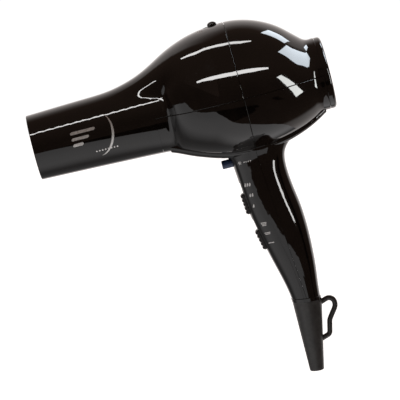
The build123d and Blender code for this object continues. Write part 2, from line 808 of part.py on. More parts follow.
with BuildPart() as ionizer_switch_body:
    with BuildSketch(Plane.XY.offset(46.0)):
        with Locations((knob_x - knob_travel / 2, 0)):
            Rectangle(11.0, 8.0)
    extrude(amount=8.8)
    with BuildSketch(Plane.XY.offset(50.0)):
        with Locations((knob_x - knob_travel / 2, 0)):
            Rectangle(3.0 + knob_travel + 0.8, 3.4)
    extrude(amount=8, mode=Mode.SUBTRACT)
finish(ionizer_switch_body, "ionizer_switch_body")

with BuildPart() as ionizer_module:
    with BuildSketch(Plane.XY.offset(fan_housing_r + 0.1)):
        with Locations((162.0, 0)):
            RectangleRounded(15.0, 20, 1.5)
    extrude(amount=12.5)
    fillet(ionizer_module.faces().sort_by(Axis.Z)[-1].edges(), 0.8)
finish(ionizer_module, "ionizer_module")

# --- mouth: nose ring, outlet grille, ionizer needle ---------------------------------------------
with BuildPart() as nose_ring:
    with BuildSketch(Plane.XZ):
        with BuildLine():
            Polyline((0.0, 22.6), (13.2, 22.6), (13.2, 23.95), (0.6, 23.6), (0.0, 23.2), close=True)
        make_face()
    revolve(axis=Axis.X)
finish(nose_ring, "nose_ring")

with BuildPart() as outlet_grille:
    with BuildSketch(Plane.YZ.offset(15.0)):
        Circle(24.0)
        Circle(21.8, mode=Mode.SUBTRACT)
        for r in (17.7, 13.1, 8.5):
            Circle(r)
            Circle(r - 1.2, mode=Mode.SUBTRACT)
        Circle(3.6)
        with PolarLocations(0, 8):
            with Locations((13.2, 0)):
                Rectangle(20.6, 1.2)
    extrude(amount=3.2)
finish(outlet_grille, "outlet_grille")

with BuildPart() as ionizer_needle:
    with BuildSketch(Plane.YZ.offset(18.3)):
        with Locations((5.67, 13.68)):
            Circle(1.8)
    extrude(amount=4.0)
    with BuildSketch(Plane.YZ.offset(15.3)):
        with Locations((5.67, 13.68)):
            Circle(0.45)
    extrude(amount=3.2)
finish(ionizer_needle, "ionizer_needle")

# --- heater ------------------------------------------------------------------------------------------
with BuildPart() as heat_shield:
    with BuildSketch(Plane.XZ):
        with BuildLine():
            Polyline((21.5, 23.0), (117.0, 23.0), (117.0, 23.4), (21.5, 23.4), close=True)
        make_face()
    revolve(axis=Axis.X)
finish(heat_shield, "heat_shield")

coil_x = [36 + 9 * i for i in range(8)]
coil_r = 20.8
with BuildPart() as mica_boards:
    with BuildSketch(Plane.XZ):
        with Locations((70, 0)):
            Rectangle(86, 45.4)
    extrude(amount=0.5, both=True)
    with BuildSketch(Plane.XY):
        with Locations((70, 0)):
            Rectangle(86, 45.4)
    extrude(amount=0.5, both=True)
    # notches that hold the windings
    for x in coil_x:
        with BuildSketch(Plane.YZ.offset(x - 1.1)):
            Circle(30)
            Circle(coil_r - 1.1, mode=Mode.SUBTRACT)
        extrude(amount=2.2, mode=Mode.SUBTRACT)
finish(mica_boards, "mica_boards")

with BuildPart() as heating_coils:
    for x in coil_x:
        with BuildSketch(Plane.XZ):
            with Locations((x, coil_r)):
                Circle(0.85)
        revolve(axis=Axis.X)
finish(heating_coils, "heating_coils")

with BuildPart() as thermostat:
    with BuildSketch(Plane.XY.offset(0.6)):
        with Locations((108.0, 10.0)):
            Rectangle(9, 7)
    extrude(amount=3.0)
    with BuildSketch(Plane.XY.offset(3.6)):
        with Locations((108.0, 10.0)):
            Circle(2.6)
    extrude(amount=1.0)
finish(thermostat, "thermostat")

with BuildPart() as thermal_fuse:
    with BuildSketch(Plane.YZ.offset(102.5)):
        with Locations((-10.0, 2.8)):
            Circle(2.0)
    extrude(amount=9.5)
    with BuildSketch(Plane.YZ.offset(99.0)):
        with Locations((-10.0, 2.8)):
            Circle(0.5)
    extrude(amount=16.5)
finish(thermal_fuse, "thermal_fuse")
print("heater done")

# --- fan housing and motor -----------------------------------------------------------------------------
with BuildPart() as fan_housing:
    with BuildSketch(Plane.XZ):
        with BuildLine():
            Polyline(
                (117.4, 23.2), (122.0, 24.2), (150.0, fan_duct_r), (217.0, fan_duct_r),
                (217.0, fan_housing_r), (150.0, fan_housing_r), (121.5, 26.0), (117.4, 25.0), close=True,
            )
        make_face()
    revolve(axis=Axis.X)
finish(fan_housing, "fan_housing")

with BuildPart() as motor_mount:
    with BuildSketch(Plane.YZ.offset(166.0)):
        Circle(motor_r + 1.4)
        Circle(motor_r + 0.05, mode=Mode.SUBTRACT)
    extrude(amount=22)
    # straight guide vanes, each slightly turned
    for i in range(7):
        vane = Plane.XY.rotated((i * 360 / 7, 0, 0)).offset(motor_r + 1.0)
        with BuildSketch(vane):
            with Locations(Location((177.0, 0), 12)):
                Rectangle(20, 1.4)
        extrude(amount=fan_duct_r - motor_r - 1.2)
finish(motor_mount, "motor_mount")

with BuildPart() as motor_can:
    with BuildSketch(Plane.XZ):
        with BuildLine():
            Polyline(
                (152.0, 5.1), (157.0, 5.1), (157.0, 16.8), (193.0, 16.8), (193.0, motor_r),
                (153.6, motor_r), (153.6, 7.0), (152.0, 7.0), close=True,
            )
        make_face()
    revolve(axis=Axis.X)
finish(motor_can, "motor_can")

with BuildPart() as motor_end_cap:
    with BuildSketch(Plane.XZ):
        with BuildLine():
            Polyline(
                (193.0, 5.1), (197.6, 5.1), (197.6, 7.5), (195.2, 7.5), (195.2, motor_r), (193.0, motor_r),
                close=True,
            )
        make_face()
    revolve(axis=Axis.X)
    with BuildSketch(Plane.YZ.offset(192)):
        with PolarLocations(12.5, 4):
            Circle(2.4)
    extrude(amount=5, mode=Mode.SUBTRACT)
finish(motor_end_cap, "motor_end_cap")

with BuildPart() as motor_magnets:
    with BuildSketch(Plane.YZ.offset(160.0)):
        Circle(16.7)
        Circle(14.2, mode=Mode.SUBTRACT)
        Rectangle(60, 10, mode=Mode.SUBTRACT)
    extrude(amount=22)
finish(motor_magnets, "motor_magnets")

with BuildPart() as rotor_core:
    with BuildSketch(Plane.YZ.offset(161.0)):
        Circle(13.7)
        Circle(shaft_r, mode=Mode.SUBTRACT)
        with PolarLocations(12.2, 5):
            Rectangle(5.0, 1.6, mode=Mode.SUBTRACT)
        with PolarLocations(9.0, 5):
            Circle(2.4, mode=Mode.SUBTRACT)
    extrude(amount=20)
finish(rotor_core, "rotor_core")

with BuildPart() as rotor_windings:
    with BuildSketch(Plane.YZ.offset(159.0)):
        with PolarLocations(9.0, 5):
            Circle(2.2)
    extrude(amount=24)
finish(rotor_windings, "rotor_windings")

with BuildPart() as commutator:
    with BuildSketch(Plane.YZ.offset(185.5)):
        Circle(4.2)
        Circle(shaft_r, mode=Mode.SUBTRACT)
        with PolarLocations(4.2, 10):
            Rectangle(1.0, 0.3, mode=Mode.SUBTRACT)
    extrude(amount=6.0)
finish(commutator, "commutator")

with BuildPart() as carbon_brushes:
    for side in (1, -1):
        with BuildSketch(Plane.YZ.offset(186.5)):
            with Locations((side * (4.5 + 5.5), 0)):
                Rectangle(11.0, 3.4)
        extrude(amount=4.0)
finish(carbon_brushes, "carbon_brushes")

with BuildPart() as motor_shaft:
    with BuildSketch(Plane.YZ.offset(149.5)):
        Circle(shaft_r)
    extrude(amount=69.5)
    chamfer(motor_shaft.edges().filter_by(GeomType.CIRCLE), 0.3)
finish(motor_shaft, "motor_shaft")

with BuildPart() as shaft_bearings:
    for x in (152.2, 193.4):
        with BuildSketch(Plane.YZ.offset(x)):
            Circle(5.05)
            Circle(shaft_r + 0.05, mode=Mode.SUBTRACT)
        extrude(amount=4.0)
finish(shaft_bearings, "shaft_bearings")

with BuildPart() as blade:
    with BuildSketch(Plane.XY.offset(8.0)):
        with Locations(Location((207.0, 0), 32)):
            Rectangle(14.5, 1.6)
    with BuildSketch(Plane.XY.offset(impeller_r + 1.5)):
        with Locations(Location((207.0, 0), 52)):
            Rectangle(16.5, 1.1)
    loft()

with BuildPart() as impeller:
    with BuildSketch(Plane.XZ):
        with BuildLine():
            Polyline((200.0, shaft_r), (200.0, 10.5), (213.0, 10.5))
            Spline((213.0, 10.5), (214.9, 8.6), (215.6, 5.0), tangents=[(1, 0), (0, -1)])
            Polyline((215.6, 5.0), (215.6, shaft_r), (200.0, shaft_r))
        make_face()
    revolve(axis=Axis.X)
    for i in range(9):
        add(blade.part.rotate(Axis.X, i * 40))
    with BuildSketch(Plane.YZ.offset(190)):
        Circle(impeller_r)
        Circle(shaft_r, mode=Mode.SUBTRACT)
    extrude(amount=40, mode=Mode.INTERSECT)
finish(impeller, "impeller")
print("impeller", impeller.part.volume, len(impeller.part.solids()))

with BuildPart() as impeller_nut:
    with BuildSketch(Plane.YZ.offset(215.6)):
        RegularPolygon(3.6, 6)
        Circle(shaft_r, mode=Mode.SUBTRACT)
    extrude(amount=2.6)
finish(impeller_nut, "impeller_nut")

# --- rear: finger guard, filter mesh, filter cover -----------------------------------------------------
with BuildPart() as finger_guard:
    with BuildSketch(Plane.YZ.offset(221.6)):
        for r in (30.3, 23.0, 16.0, 9.0):
            Circle(r)
            Circle(r - 1.3, mode=Mode.SUBTRACT)
        Circle(4.2)
        with PolarLocations(0, 6):
            with Locations((16.2, 0)):
                Rectangle(26.6, 1.4)
    extrude(amount=2.2)
finish(finger_guard, "finger_guard")

with BuildPart() as filter_mesh:
    with BuildSketch(Plane.YZ.offset(237.9)):
        Circle(25.4)
    extrude(amount=0.5)
finish(filter_mesh, "filter_mesh")

cover_x = head_length + 0.3
with BuildPart() as filter_cover:
    with BuildSketch(Plane.YZ.offset(cover_x)):
        Circle(collar_r)
    extrude(amount=cover_end - cover_x)
    fillet(filter_cover.faces().sort_by(Axis.X)[-1].edges(), 2.6)
    # space for the filter mesh behind the grille
    with BuildSketch(Plane.YZ.offset(cover_x - 1)):
        Circle(25.6)
    extrude(amount=2.0 + 1.0 + 0.6, mode=Mode.SUBTRACT)
    # sleeve inside the collar
    with BuildSketch(Plane.YZ.offset(229.5)):
        Circle(26.4)
        Circle(24.9, mode=Mode.SUBTRACT)
    extrude(amount=cover_x - 229.5 + 0.6)
    with BuildSketch(Plane.YZ.offset(cover_x)):
        Circle(27.0)
        Circle(24.9, mode=Mode.SUBTRACT)
    extrude(amount=0.8)
    # intake slots: four rings, each cut by eight ribs
    with BuildSketch(Plane.YZ.offset(cover_x + 0.5)):
        for r in (23.6, 20.2, 16.8, 13.4, 10.0):
            Circle(r)
            Circle(r - 2.0, mode=Mode.SUBTRACT)
        with PolarLocations(0, 8):
            with Locations((15.0, 0)):
                Rectangle(20.0, 1.6, mode=Mode.SUBTRACT)
    extrude(amount=12, mode=Mode.SUBTRACT)
    # locating tab in the collar's notch
    with BuildSketch(Plane.XZ.offset(26.9)):
        with Locations((235.6, 3.2)):
            Rectangle(3.9, 5.8)
    extrude(amount=2.1)
finish(filter_cover, "filter_cover")
print("cover", filter_cover.part.volume, len(filter_cover.part.solids()))

# --- cord fixing inside the handle -------------------------------------------------------------------------
with BuildPart() as terminal_block:
    with BuildSketch(Plane.XZ):
        with Locations((184.0, -139.0)):
            Rectangle(8.0, 13.0)
    extrude(amount=8.0, both=True)
    with BuildSketch(Plane.XY.offset(-147)):
        with Locations((184.0, -5.8), (184.0, 5.8)):
            Circle(1.5)
    extrude(amount=16, mode=Mode.SUBTRACT)
finish(terminal_block, "terminal_block")

with BuildPart() as cord_clamp:
    with BuildSketch(Plane.XZ):
        with Locations((184.6, -159.6)):
            Rectangle(4.0, 5.0)
    extrude(amount=7.6, both=True)
    with BuildSketch(Plane.YZ.offset(180)):
        with Locations((-5.4, -159.6), (5.4, -159.6)):
            Circle(1.15)
    extrude(amount=12, mode=Mode.SUBTRACT)
finish(cord_clamp, "cord_clamp")

with BuildPart() as clamp_screws:
    for y in (-5.4, 5.4):
        with BuildSketch(Plane.YZ.offset(180.8)):
            with Locations((y, -159.6)):
                Circle(2.0)
        extrude(amount=1.6)
        with BuildSketch(Plane.YZ.offset(182.4)):
            with Locations((y, -159.6)):
                Circle(1.05)
        extrude(amount=6.0)
finish(clamp_screws, "clamp_screws")

with BuildPart() as wiring_loom:
    for y in (-5.9, 5.9):
        with BuildLine(Plane.XZ.offset(-y)) as wire_path:
            FilletPolyline(
                (184.0, -132.4), (184.0, -110.0), (181.0, -80.0), (179.0, -58.0), (172.0, -45.5), (172.0, -36.5),
                radius=12,
            )
        with BuildSketch(Plane(origin=wire_path.line @ 0, z_dir=wire_path.line % 0)):
            Circle(1.1)
        sweep(path=wire_path.line)
finish(wiring_loom, "wiring_loom")
print("all done")
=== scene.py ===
import json
import math

import bmesh
import bpy
from mathutils import Matrix, Vector
from mathutils.bvhtree import BVHTree


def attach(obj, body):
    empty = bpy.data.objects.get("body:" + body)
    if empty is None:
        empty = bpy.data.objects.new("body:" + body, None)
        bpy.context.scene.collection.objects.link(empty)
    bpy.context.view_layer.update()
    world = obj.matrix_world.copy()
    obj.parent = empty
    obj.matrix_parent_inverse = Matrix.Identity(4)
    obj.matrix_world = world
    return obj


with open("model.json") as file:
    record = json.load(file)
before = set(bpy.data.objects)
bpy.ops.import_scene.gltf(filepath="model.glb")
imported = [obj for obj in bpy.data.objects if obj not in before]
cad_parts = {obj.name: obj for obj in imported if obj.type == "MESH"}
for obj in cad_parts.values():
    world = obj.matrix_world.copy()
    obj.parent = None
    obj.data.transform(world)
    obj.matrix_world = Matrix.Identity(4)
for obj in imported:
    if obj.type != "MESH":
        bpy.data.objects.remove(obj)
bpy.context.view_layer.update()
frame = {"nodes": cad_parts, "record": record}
nodes = frame["nodes"]
scene = bpy.context.scene
scene.view_settings.view_transform = "Standard"
scene.view_settings.look = "None"
scene.view_settings.exposure = 0.0
scene.view_settings.gamma = 1.0


# --- camera ------------------------------------------------------------------
# The dryer is seen from its near side, a little from above, with the barrel
# rising to the rear; RIGHT, UP and BACK are the picture's own axes.
ELEVATION = math.radians(6.6)
ROLL = math.radians(14.5)
ahead = Vector((0.0, math.cos(ELEVATION), -math.sin(ELEVATION)))
flat_up = Vector((0.0, math.sin(ELEVATION), math.cos(ELEVATION)))
RIGHT = math.cos(ROLL) * Vector((1, 0, 0)) - math.sin(ROLL) * flat_up
UP = math.sin(ROLL) * Vector((1, 0, 0)) + math.cos(ROLL) * flat_up
BACK = -ahead
TARGET = Vector((0.1177, 0.0, -0.0739))
DISTANCE = 2.3

cam_data = bpy.data.cameras.new("camera")
cam = bpy.data.objects.new("camera", cam_data)
scene.collection.objects.link(cam)
cam_data.sensor_width = 36.0
cam_data.lens = 18.0 / (0.16 / DISTANCE)
cam.matrix_world = Matrix((
    (RIGHT.x, UP.x, BACK.x, (TARGET + BACK * DISTANCE).x),
    (RIGHT.y, UP.y, BACK.y, (TARGET + BACK * DISTANCE).y),
    (RIGHT.z, UP.z, BACK.z, (TARGET + BACK * DISTANCE).z),
    (0, 0, 0, 1),
))
cam_data.clip_start, cam_data.clip_end = 0.05, 60.0
scene.camera = cam


def in_picture(right, up, back):
    """Point given along the picture's axes, from the aiming point, in metres."""
    return TARGET + RIGHT * right + UP * up + BACK * back


# --- node helpers ----------------------------------------------------------------
def link(tree, a, b):
    tree.links.new(a, b)


def math_node(tree, op, a, b=None, clamp=False):
    n = tree.nodes.new("ShaderNodeMath")
    n.operation = op
    n.use_clamp = clamp
    for i, v in enumerate((a, b)):
        if v is None:
            continue
        if isinstance(v, (int, float)):
            n.inputs[i].default_value = v
        else:
            link(tree, v, n.inputs[i])
    return n.outputs[0]


def map_range(tree, value, lo, hi, out_lo, out_hi, smooth=False):
    n = tree.nodes.new("ShaderNodeMapRange")
    if smooth:
        n.interpolation_type = "SMOOTHSTEP"
    link(tree, value, n.inputs["Value"])
    n.inputs["From Min"].default_value = lo
    n.inputs["From Max"].default_value = hi
    n.inputs["To Min"].default_value = out_lo
    n.inputs["To Max"].default_value = out_hi
    return n.outputs["Result"]


def noise(tree, coords, scale, detail=3.0, rough=0.5, stretch=None):
    if stretch is not None:
        m = tree.nodes.new("ShaderNodeMapping")
        m.inputs["Scale"].default_value = stretch
        link(tree, coords, m.inputs["Vector"])
        coords = m.outputs["Vector"]
    n = tree.nodes.new("ShaderNodeTexNoise")
    n.inputs["Scale"].default_value = scale
    n.inputs["Detail"].default_value = detail
    n.inputs["Roughness"].default_value = rough
    link(tree, coords, n.inputs["Vector"])
    return n.outputs["Fac"]


def bump(tree, height, strength, distance, normal=None):
    b = tree.nodes.new("ShaderNodeBump")
    b.inputs["Strength"].default_value = strength
    b.inputs["Distance"].default_value = distance
    link(tree, height, b.inputs["Height"])
    if normal is not None:
        link(tree, normal, b.inputs["Normal"])
    return b.outputs["Normal"]


def material(name, dark, light, colour_scale, rough, rough_scale, bumps,
             metallic=0.0, ior=1.5, coat=0.0, stretch=None, contrast=(0.35, 0.65), speck=None):
    """Procedural finish in the part's own coordinates: mottled colour, uneven roughness, fine relief."""
    m = bpy.data.materials.new(name)
    m.use_nodes = True
    t = m.node_tree
    bsdf = next(n for n in t.nodes if n.type == "BSDF_PRINCIPLED")
    co = t.nodes.new("ShaderNodeTexCoord").outputs["Object"]
    mix = t.nodes.new("ShaderNodeMix")
    mix.data_type = "RGBA"
    mix.inputs[6].default_value = (*dark, 1)
    mix.inputs[7].default_value = (*light, 1)
    fac = map_range(t, noise(t, co, colour_scale, 4.0, 0.6, stretch), *contrast, 0.0, 1.0)
    if speck is not None:
        v = t.nodes.new("ShaderNodeTexVoronoi")
        v.inputs["Scale"].default_value = speck
        link(t, co, v.inputs["Vector"])
        fac = math_node(t, "MULTIPLY", fac, map_range(t, v.outputs["Distance"], 0.0, 0.6, 1.0, 0.4), clamp=True)
    link(t, fac, mix.inputs[0])
    link(t, mix.outputs[2], bsdf.inputs["Base Color"])
    link(t, map_range(t, noise(t, co, rough_scale, 5.0, 0.6, stretch), 0.3, 0.7, rough[0], rough[1]),
         bsdf.inputs["Roughness"])
    normal = None
    for scale, strength, distance in bumps:
        normal = bump(t, noise(t, co, scale, 3.0, 0.55, stretch), strength, distance, normal)
    if normal is not None:
        link(t, normal, bsdf.inputs["Normal"])
    bsdf.inputs["Metallic"].default_value = metallic
    bsdf.inputs["IOR"].default_value = ior
    bsdf.inputs["Coat Weight"].default_value = coat
    if coat:
        bsdf.inputs["Coat Roughness"].default_value = 0.03
    return m


MATERIALS = {
    # polished shell: near black with a warm cast, faint orange peel, handling marks in the gloss
    "gloss_black": material("gloss_black", (0.0018, 0.0013, 0.0011), (0.0034, 0.0024, 0.0019), 60.0,
                            (0.018, 0.055), 130.0, [(160.0, 0.004, 0.0003), (4200.0, 0.010, 0.00002)]),
    # spark-eroded switch plastic
    "black_abs": material("black_abs", (0.006, 0.006, 0.006), (0.014, 0.013, 0.013), 500.0,
                          (0.30, 0.46), 900.0, [(3600.0, 0.22, 0.00006), (900.0, 0.08, 0.00008)]),
    # soft moulded strain relief
    "soft_black": material("soft_black", (0.009, 0.0085, 0.008), (0.017, 0.016, 0.015), 220.0,
                           (0.38, 0.55), 420.0, [(2600.0, 0.28, 0.00007), (300.0, 0.06, 0.0002)]),
    "navy": material("navy", (0.006, 0.014, 0.040), (0.010, 0.024, 0.062), 300.0,
                     (0.16, 0.30), 600.0, [(2600.0, 0.08, 0.00005)]),
    "white_plastic": material("white_plastic", (0.66, 0.65, 0.60), (0.80, 0.79, 0.74), 160.0,
                              (0.38, 0.52), 500.0, [(2600.0, 0.15, 0.00005)]),
    "heat_plastic": material("heat_plastic", (0.42, 0.37, 0.30), (0.56, 0.51, 0.43), 140.0,
                             (0.42, 0.60), 400.0, [(2200.0, 0.18, 0.00006)]),
    "mica": material("mica", (0.45, 0.34, 0.21), (0.70, 0.58, 0.41), 380.0,
                     (0.22, 0.50), 700.0, [(900.0, 0.25, 0.00008)], speck=900.0),
    "nichrome": material("nichrome", (0.26, 0.24, 0.22), (0.50, 0.47, 0.43), 500.0,
                         (0.26, 0.44), 900.0, [(2200.0, 0.12, 0.00004)], metallic=1.0),
    "steel": material("steel", (0.46, 0.46, 0.46), (0.64, 0.64, 0.63), 260.0,
                      (0.18, 0.34), 900.0, [(2600.0, 0.10, 0.00003)], metallic=1.0, stretch=(1.0, 0.15, 1.0)),
    "zinc": material("zinc", (0.42, 0.43, 0.42), (0.62, 0.62, 0.58), 320.0,
                     (0.24, 0.42), 700.0, [(1800.0, 0.12, 0.00004)], metallic=1.0),
    "laminations": material("laminations", (0.16, 0.16, 0.17), (0.34, 0.34, 0.35), 1400.0,
                            (0.34, 0.52), 900.0, [(2600.0, 0.30, 0.00010)], metallic=1.0, stretch=(1.0, 0.03, 0.03)),
    "copper": material("copper", (0.46, 0.17, 0.07), (0.78, 0.38, 0.19), 500.0,
                       (0.20, 0.36), 900.0, [(1600.0, 0.25, 0.00010)], metallic=1.0, coat=0.4),
    "carbon": material("carbon", (0.035, 0.035, 0.036), (0.075, 0.075, 0.078), 700.0,
                       (0.46, 0.66), 900.0, [(2400.0, 0.25, 0.00006)], metallic=0.3),
    "board": material("board", (0.018, 0.11, 0.045), (0.035, 0.17, 0.075), 260.0,
                      (0.24, 0.40), 700.0, [(1500.0, 0.10, 0.00006)], coat=0.2),
}


def woven_mesh():
    """Fine stainless gauze: crossed wires by two wave patterns; the holes between them are painted dark as shade."""
    m = bpy.data.materials.new("filter_steel")
    m.use_nodes = True
    t = m.node_tree
    bsdf = next(n for n in t.nodes if n.type == "BSDF_PRINCIPLED")
    co = t.nodes.new("ShaderNodeTexCoord").outputs["Object"]
    waves = []
    for axis in ("Y", "Z"):
        w = t.nodes.new("ShaderNodeTexWave")
        w.wave_type = "BANDS"
        w.bands_direction = axis
        w.inputs["Scale"].default_value = 360.0
        w.inputs["Distortion"].default_value = 0.15
        w.inputs["Detail"].default_value = 1.0
        link(t, co, w.inputs["Vector"])
        waves.append(w.outputs["Fac"])
    top = math_node(t, "MAXIMUM", waves[0], waves[1])
    mix = t.nodes.new("ShaderNodeMix")
    mix.data_type = "RGBA"
    # painted shade: the holes between the wires get a near-black colour standing in for the shaded inside, the wires
    # a steel grey
    mix.inputs[6].default_value = (0.012, 0.012, 0.012, 1)
    mix.inputs[7].default_value = (0.34, 0.34, 0.35, 1)
    link(t, map_range(t, top, 0.55, 0.9, 0.0, 1.0), mix.inputs[0])
    link(t, mix.outputs[2], bsdf.inputs["Base Color"])
    link(t, map_range(t, noise(t, co, 900.0), 0.3, 0.7, 0.28, 0.45), bsdf.inputs["Roughness"])
    link(t, bump(t, top, 0.8, 0.0001), bsdf.inputs["Normal"])
    bsdf.inputs["Metallic"].default_value = 0.9
    return m


MATERIALS["filter_steel"] = woven_mesh()

# Each node takes the finish of the slot that the record gives it.
slot_of = {}
for s in frame["record"].get("subparts", []):
    name = s.get("node") or s.get("name")
    slot = s.get("material") or s.get("material_slot") or s.get("slot")
    if name in nodes and slot:
        slot_of[name] = slot
for name, obj in nodes.items():
    slot = slot_of.get(name)
    if slot is None:
        had = [ms.material.name for ms in obj.material_slots if ms.material]
        slot = next((k for h in had for k in MATERIALS if h.split(".")[0] == k), "black_abs")
    if not obj.material_slots:
        obj.data.materials.append(MATERIALS[slot])
    for ms in obj.material_slots:
        ms.material = MATERIALS[slot]
    slot_of[name] = slot


# --- printed marks ----------------------------------------------------------------
def print_ink(name, colour, light, rough):
    return material(name, colour, light, 700.0, rough, 900.0, [(2400.0, 0.05, 0.00002)])


INK_SILVER = material("ink_silver", (0.42, 0.41, 0.40), (0.66, 0.65, 0.63), 500.0,
                      (0.24, 0.40), 1200.0, [(5200.0, 0.10, 0.00002)], metallic=0.55, speck=2600.0)
INK_GREY = print_ink("ink_grey", (0.36, 0.36, 0.36), (0.50, 0.50, 0.50), (0.34, 0.46))


def shell_tree(names):
    """One search tree over several CAD nodes, in the row frame."""
    verts, faces = [], []
    for n in names:
        mesh = nodes[n].data
        base = len(verts)
        verts += [v.co.copy() for v in mesh.vertices]
        mesh.calc_loop_triangles()
        faces += [tuple(base + i for i in tri.vertices) for tri in mesh.loop_triangles]
    return BVHTree.FromPolygons(verts, faces)


def bar(cx, cz, length, height, angle=0.0, lean=0.0, n=None):
    """Slim bar with rounded ends, as an outline in the side view (x, z) in mm."""
    r = height / 2
    half = length / 2 - r
    pts = []
    for k in range(9):
        a = -math.pi / 2 + math.pi * k / 8
        pts.append((half + r * math.cos(a), r * math.sin(a)))
    for k in range(9):
        a = math.pi / 2 + math.pi * k / 8
        pts.append((-half + r * math.cos(a), r * math.sin(a)))
    out = []
    c, s = math.cos(math.radians(angle)), math.sin(math.radians(angle))
    for px, pz in pts:
        px = px + lean * pz
        out.append((cx + px * c - pz * s, cz + px * s + pz * c))
    return out


def dot(cx, cz, r):
    return [(cx + r * math.cos(2 * math.pi * k / 14), cz + r * math.sin(2 * math.pi * k / 14)) for k in range(14)]


def ring_arc(cx, cz, rx, rz, a0, a1, w, tilt=0.0, n=26):
    """Crescent stroke that is widest in its middle."""
    outer, inner = [], []
    for k in range(n + 1):
        f = k / n
        a = math.radians(a0 + (a1 - a0) * f)
        h = w * math.sin(math.pi * f) / 2 + 0.06
        ca, sa = math.cos(a), math.sin(a)
        outer.append(((rx + h) * ca, (rz + h) * sa))
        inner.append(((rx - h) * ca, (rz - h) * sa))
    pts = outer + inner[::-1]
    c, s = math.cos(math.radians(tilt)), math.sin(math.radians(tilt))
    return [(cx + px * c - pz * s, cz + px * s + pz * c) for px, pz in pts]


def printed(name, outlines, tree, ink, body, from_side=True, lift=0.00005, fine=0.0007):
    """Thin closed layer of ink that follows the shell. Outlines are (x, z) from the near side,
    or (x, y) from above, in mm."""
    bm = bmesh.new()
    for outline in outlines:
        vs = [bm.verts.new((x / 1000, 0.0, z / 1000)) for x, z in outline]
        f = bm.faces.new(vs)
        f.normal_update()
    bmesh.ops.triangulate(bm, faces=bm.faces[:])
    for _ in range(6):
        long_edges = [e for e in bm.edges if e.calc_length() > fine]
        if not long_edges:
            break
        bmesh.ops.subdivide_edges(bm, edges=long_edges, cuts=1)
        bmesh.ops.triangulate(bm, faces=bm.faces[:])
    bm.verts.ensure_lookup_table()
    lost = []
    normals = {}
    for v in bm.verts:
        if from_side:
            start, way = Vector((v.co.x, -0.2, v.co.z)), Vector((0, 1, 0))
        else:
            start, way = Vector((v.co.x, v.co.z, 0.2)), Vector((0, 0, -1))
        hit, normal, _, _ = tree.ray_cast(start, way)
        if hit is None:
            lost.append(v)
            continue
        if normal.dot(way) > 0:
            normal = -normal
        v.co = hit
        normals[v] = normal
    if lost:
        bmesh.ops.delete(bm, geom=lost, context="VERTS")
    for v in bm.verts:
        v.co = v.co + normals[v] * lift
    bmesh.ops.recalc_face_normals(bm, faces=bm.faces[:])
    # every island faces out of the shell
    for f in bm.faces:
        if f.normal.dot(normals[f.verts[0]]) < 0:
            f.normal_flip()
    top = bm.faces[:]
    rim = [e for e in bm.edges if len(e.link_faces) == 1]
    low = {}
    for v in bm.verts[:]:
        low[v] = bm.verts.new(v.co - normals[v] * (lift * 2))
    for f in top:
        bm.faces.new([low[v] for v in reversed(f.verts)])
    for e in rim:
        a, b = e.verts
        loop = next(l for l in e.link_loops)
        a, b = loop.vert, loop.link_loop_next.vert
        bm.faces.new([b, a, low[a], low[b]])
    for f in bm.faces:
        f.smooth = True
    mesh = bpy.data.meshes.new(name)
    bm.to_mesh(mesh)
    bm.free()
    mesh.set_sharp_from_angle(angle=math.radians(50))
    obj = bpy.data.objects.new(name, mesh)
    scene.collection.objects.link(obj)
    mesh.materials.append(ink)
    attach(obj, body)
    return obj


head_tree = shell_tree(["front_upper_shell", "front_lower_shell", "rear_upper_shell"])
grip_tree = shell_tree(["handle_front_shell"])


def seen(x, t, y):
    """Height of a mark that shows at height t in the side picture, on a surface y mm from the middle."""
    return t + abs(y) * math.tan(ELEVATION)


# generic decoration on the barrel: a stack of slim bars, a long open crescent, a row of dots
emblem = []
for k, (length, z) in enumerate(((20.0, 5.4), (14.0, 0.6), (8.5, -4.2))):
    emblem.append(bar(41.0 - (20.0 - length) / 2 + 0.6, z, length, 2.3, lean=0.28))
emblem.append(ring_arc(53.5, -1.0, 11.0, 17.0, -75, 78, 1.7, tilt=-16))
printed("barrel_emblem", emblem, head_tree, INK_SILVER, "housing")
printed("barrel_dots", [dot(48.5 + 2.4 * k, -13.2, 0.62) for k in range(8)], head_tree, INK_SILVER, "housing")

# switch marks on the near side of the handle: growing bars for warmer and faster, a star for the cold shot
marks = []
for cx, cz in ((157.3, -70.4), (159.2, -79.1), (159.8, -88.0)):
    level = {-70.4: 3, -79.1: 2, -88.0: 1}[cz]
    for k in range(level):
        marks.append(bar(cx - 1.8 + k * 1.8, cz, 2.8, 1.1, angle=75))
for cx, cz in ((162.2, -103.9), (163.3, -112.4), (164.4, -121.0)):
    level = {-103.9: 3, -112.4: 2, -121.0: 1}[cz]
    for k in range(level):
        marks.append(bar(cx, cz + 1.0 - k * 1.1, 4.6 - 0.6 * k, 0.7))
for k in range(3):
    marks.append(bar(155.6, -52.0, 3.2, 0.42, angle=60 * k + 8))
for k in range(4):
    marks.append(bar(159.2 + 1.7 * k, -51.9, 1.1, 0.9))
printed("switch_marks", marks, grip_tree, INK_GREY, "housing", fine=0.0005)

# marks beside the ion switch, on top of the dome: three bars of falling length and one short bar
top_marks = [bar(149.2 + 1.5 * k, -8.0 - 0.8 * k, 7.5 - 1.5 * k, 0.9, angle=90) for k in range(3)]
top_marks.append(bar(167.6, -5.4, 3.6, 1.0, angle=90))
printed("ion_marks", top_marks, shell_tree(["front_upper_shell", "rear_upper_shell"]), INK_GREY,
        "housing", from_side=False)


# --- studio -------------------------------------------------------------------------
def emitter_material(name, colour, strength):
    m = bpy.data.materials.new(name)
    m.use_nodes = True
    t = m.node_tree
    t.nodes.clear()
    e = t.nodes.new("ShaderNodeEmission")
    e.inputs["Color"].default_value = (*colour, 1)
    e.inputs["Strength"].default_value = strength
    o = t.nodes.new("ShaderNodeOutputMaterial")
    link(t, e.outputs[0], o.inputs[0])
    return m


